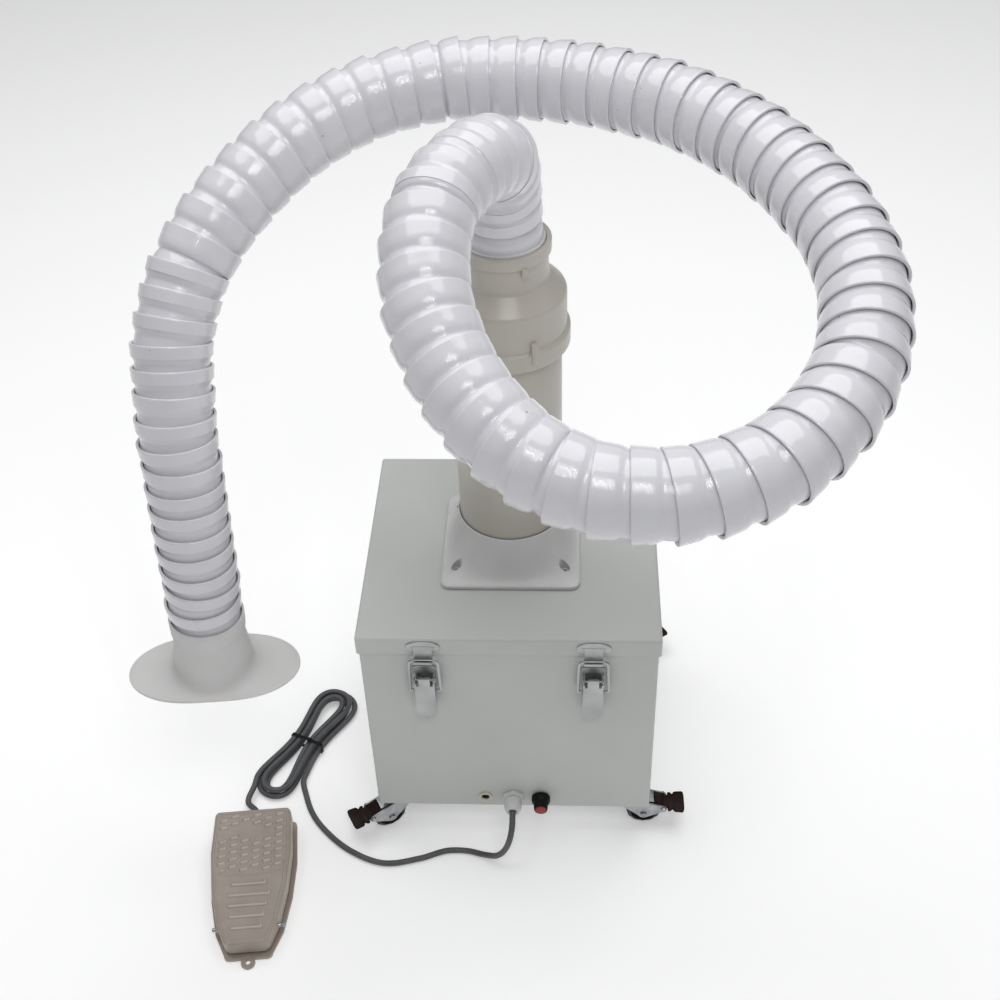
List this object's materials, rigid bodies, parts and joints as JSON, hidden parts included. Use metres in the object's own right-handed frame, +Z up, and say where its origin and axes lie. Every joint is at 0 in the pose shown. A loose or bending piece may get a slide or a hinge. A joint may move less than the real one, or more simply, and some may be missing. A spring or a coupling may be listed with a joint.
{
  "type": "portable welding fume extractor",
  "caption": "Wheeled filter cabinet with a latched lid, upright duct, self-supporting arm of nested cups, oval hood and a foot pedal on a cable.",
  "frame": {"origin": "centre of the cabinet's underside, one caster height above the floor", "axes": "+Z up, -Y the cabinet's front with its latches and knob, +X to the right of someone facing that front"},
  "size_m": [0.7174, 0.5689, 0.8694],
  "materials": {
    "cabinet_paint": "fine-textured powder coat, satin",
    "steel": "nickel-plated sheet, slightly brushed",
    "zinc": "zinc-plated",
    "rubber": "closed-cell foam rubber",
    "wheel": "hard moulded, satin",
    "brown_plastic": "moulded, satin",
    "cream_plastic": "extruded and moulded PVC, satin",
    "white_plastic": "moulded, satin",
    "gloss_white": "moulded, glossy",
    "black_plastic": "moulded, satin",
    "red_plastic": "moulded",
    "pedal_cast": "fine cast grain, matte",
    "filter_paper": "pleated paper",
    "foam": "open-cell foam",
    "board": "coated board",
    "cable": "smooth sheath"
  },
  "bodies": {
    "cabinet": {"cabinet_shell": "cabinet_paint", "lid_gasket": "rubber", "hinge_cabinet_leaf": "zinc", "exhaust_grille": "black_plastic", "power_jack": "white_plastic", "cable_gland": "white_plastic", "control_board": "board", "latch_base_left": "steel", "latch_base_right": "steel", "prefilter": "foam", "filter_cartridge": "filter_paper", "fan_deck": "cabinet_paint", "blower_housing": "black_plastic", "caster_plate_front_left": "zinc", "caster_plate_front_right": "zinc", "caster_plate_rear_left": "zinc", "caster_plate_rear_right": "zinc", "pedal_base": "pedal_cast", "pedal_pin": "zinc", "pedal_spring": "steel", "cable_run": "cable", "cable_hank": "cable", "cable_tail": "cable", "cable_tie": "black_plastic"},
    "lid": {"lid": "cabinet_paint", "hinge_lid_leaf": "zinc", "latch_catch_left": "steel", "latch_catch_right": "steel", "duct_flange": "white_plastic", "duct_pipe": "cream_plastic", "reducer": "cream_plastic"},
    "arm_1": {"arm_collar": "white_plastic", "arm_section_1": "gloss_white"},
    "arm_2": {"arm_section_2": "gloss_white"},
    "arm_3": {"arm_section_3": "gloss_white"},
    "arm_4": {"arm_section_4": "gloss_white"},
    "arm_5": {"arm_section_5": "gloss_white"},
    "arm_6": {"arm_section_6": "gloss_white"},
    "arm_7": {"arm_section_7": "gloss_white"},
    "hood": {"hood": "white_plastic"},
    "knob": {"speed_knob": "black_plastic", "knob_cap": "red_plastic"},
    "impeller": {"impeller": "black_plastic"},
    "lever_left": {"latch_lever_left": "steel"},
    "loop_left": {"latch_loop_left": "steel"},
    "lever_right": {"latch_lever_right": "steel"},
    "loop_right": {"latch_loop_right": "steel"},
    "fork_front_left": {"caster_fork_front_left": "zinc"},
    "wheel_front_left": {"caster_wheel_front_left": "wheel"},
    "brake_front_left": {"caster_brake_front_left": "brown_plastic"},
    "fork_front_right": {"caster_fork_front_right": "zinc"},
    "wheel_front_right": {"caster_wheel_front_right": "wheel"},
    "brake_front_right": {"caster_brake_front_right": "brown_plastic"},
    "fork_rear_left": {"caster_fork_rear_left": "zinc"},
    "wheel_rear_left": {"caster_wheel_rear_left": "wheel"},
    "brake_rear_left": {"caster_brake_rear_left": "brown_plastic"},
    "fork_rear_right": {"caster_fork_rear_right": "zinc"},
    "wheel_rear_right": {"caster_wheel_rear_right": "wheel"},
    "brake_rear_right": {"caster_brake_rear_right": "brown_plastic"},
    "treadle": {"pedal_treadle": "pedal_cast"}
  },
  "joints": [
    {"name": "lid_hinge", "type": "hinge", "parent": "cabinet", "child": "lid", "pos_m": [0, 0.1509, 0.2573], "axis": [-1, 0, 0], "range_deg": [0, 95]},
    {"name": "arm_swivel", "type": "hinge", "parent": "lid", "child": "arm_1", "pos_m": [0, 0, 0.671], "axis": [0, 0, 1], "range_deg": [-170, 170]},
    {"name": "arm_joint_1", "type": "hinge", "parent": "arm_1", "child": "arm_2", "pos_m": [-0.05126, -0.15503, 0.77059], "axis": [0.9844, -0.1761, 0], "range_deg": [-8, 8]},
    {"name": "arm_joint_2", "type": "hinge", "parent": "arm_2", "child": "arm_3", "pos_m": [0.06027, -0.34337, 0.66424], "axis": [0.1736, -0.0676, 0.9825], "range_deg": [-8, 8]},
    {"name": "arm_joint_3", "type": "hinge", "parent": "arm_3", "child": "arm_4", "pos_m": [0.28587, -0.25001, 0.70876], "axis": [0.948, -0.3184, 0], "range_deg": [-8, 8]},
    {"name": "arm_joint_4", "type": "hinge", "parent": "arm_4", "child": "arm_5", "pos_m": [0.20438, -0.00487, 0.77472], "axis": [-0.7098, -0.7044, 0], "range_deg": [-8, 8]},
    {"name": "arm_joint_5", "type": "hinge", "parent": "arm_5", "child": "arm_6", "pos_m": [-0.06833, 0.08876, 0.77911], "axis": [0.0747, 0.0131, -0.9971], "range_deg": [-8, 8]},
    {"name": "arm_joint_6", "type": "hinge", "parent": "arm_6", "child": "arm_7", "pos_m": [-0.28166, -0.07158, 0.6719], "axis": [0.8726, -0.4885, 0], "range_deg": [-8, 8]},
    {"name": "hood_joint", "type": "hinge", "parent": "arm_7", "child": "hood", "pos_m": [-0.298, -0.176, 0.339], "axis": [0.9517, -0.3069, 0], "range_deg": [-8, 8]},
    {"name": "knob_turn", "type": "hinge", "parent": "cabinet", "child": "knob", "pos_m": [0.032, -0.145, 0.016], "axis": [0, 1, 0], "range_deg": [0, 300]},
    {"name": "impeller_spin", "type": "hinge", "parent": "cabinet", "child": "impeller", "pos_m": [-0.055, -0.02, 0.09], "axis": [0, 0, 1], "continuous": true},
    {"name": "lever_left", "type": "hinge", "parent": "cabinet", "child": "lever_left", "pos_m": [-0.089, -0.1527, 0.224], "axis": [-1, 0, 0], "range_deg": [0, 90]},
    {"name": "loop_left", "type": "hinge", "parent": "lever_left", "child": "loop_left", "pos_m": [-0.089, -0.1527, 0.208], "axis": [-1, 0, 0], "range_deg": [-70, 0]},
    {"name": "lever_right", "type": "hinge", "parent": "cabinet", "child": "lever_right", "pos_m": [0.089, -0.1527, 0.224], "axis": [-1, 0, 0], "range_deg": [0, 90]},
    {"name": "loop_right", "type": "hinge", "parent": "lever_right", "child": "loop_right", "pos_m": [0.089, -0.1527, 0.208], "axis": [-1, 0, 0], "range_deg": [-70, 0]},
    {"name": "swivel_front_left", "type": "hinge", "parent": "cabinet", "child": "fork_front_left", "pos_m": [-0.13, -0.122, 0], "axis": [0, 0, 1], "continuous": true},
    {"name": "roll_front_left", "type": "hinge", "parent": "fork_front_left", "child": "wheel_front_left", "pos_m": [-0.14924, -0.13267, -0.03], "axis": [0.4848, -0.8746, 0], "continuous": true},
    {"name": "brake_front_left", "type": "hinge", "parent": "fork_front_left", "child": "brake_front_left", "pos_m": [-0.16936, -0.14382, -0.02], "axis": [0.4848, -0.8746, 0], "range_deg": [0, 20]},
    {"name": "swivel_front_right", "type": "hinge", "parent": "cabinet", "child": "fork_front_right", "pos_m": [0.13, -0.122, 0], "axis": [0, 0, 1], "continuous": true},
    {"name": "roll_front_right", "type": "hinge", "parent": "fork_front_right", "child": "wheel_front_right", "pos_m": [0.152, -0.122, -0.03], "axis": [0, 1, 0], "continuous": true},
    {"name": "brake_front_right", "type": "hinge", "parent": "fork_front_right", "child": "brake_front_right", "pos_m": [0.175, -0.122, -0.02], "axis": [0, 1, 0], "range_deg": [0, 20]},
    {"name": "swivel_rear_left", "type": "hinge", "parent": "cabinet", "child": "fork_rear_left", "pos_m": [-0.13, 0.122, 0], "axis": [0, 0, 1], "continuous": true},
    {"name": "roll_rear_left", "type": "hinge", "parent": "fork_rear_left", "child": "wheel_rear_left", "pos_m": [-0.15067, 0.12952, -0.03], "axis": [-0.342, -0.9397, 0], "continuous": true},
    {"name": "brake_rear_left", "type": "hinge", "parent": "fork_rear_left", "child": "brake_rear_left", "pos_m": [-0.17229, 0.13739, -0.02], "axis": [-0.342, -0.9397, 0], "range_deg": [0, 20]},
    {"name": "swivel_rear_right", "type": "hinge", "parent": "cabinet", "child": "fork_rear_right", "pos_m": [0.13, 0.122, 0], "axis": [0, 0, 1], "continuous": true},
    {"name": "roll_rear_right", "type": "hinge", "parent": "fork_rear_right", "child": "wheel_rear_right", "pos_m": [0.14802, 0.13462, -0.03], "axis": [-0.5736, 0.8191, 0], "continuous": true},
    {"name": "brake_rear_right", "type": "hinge", "parent": "fork_rear_right", "child": "brake_rear_right", "pos_m": [0.16686, 0.14781, -0.02], "axis": [-0.5736, 0.8191, 0], "range_deg": [0, 20]},
    {"name": "treadle_hinge", "type": "hinge", "parent": "cabinet", "child": "treadle", "pos_m": [-0.29106, -0.29011, -0.035], "axis": [-0.9938, -0.1115, 0], "range_deg": [0, 4], "stiffness_Nm_per_rad": 1.5, "springref_deg": -11.46, "deforming": ["pedal_spring"]}
  ],
  "couplings": [
    {"joint": "loop_left", "follows": "lever_left", "ratio": -0.75},
    {"joint": "loop_right", "follows": "lever_right", "ratio": -0.75}
  ]
}
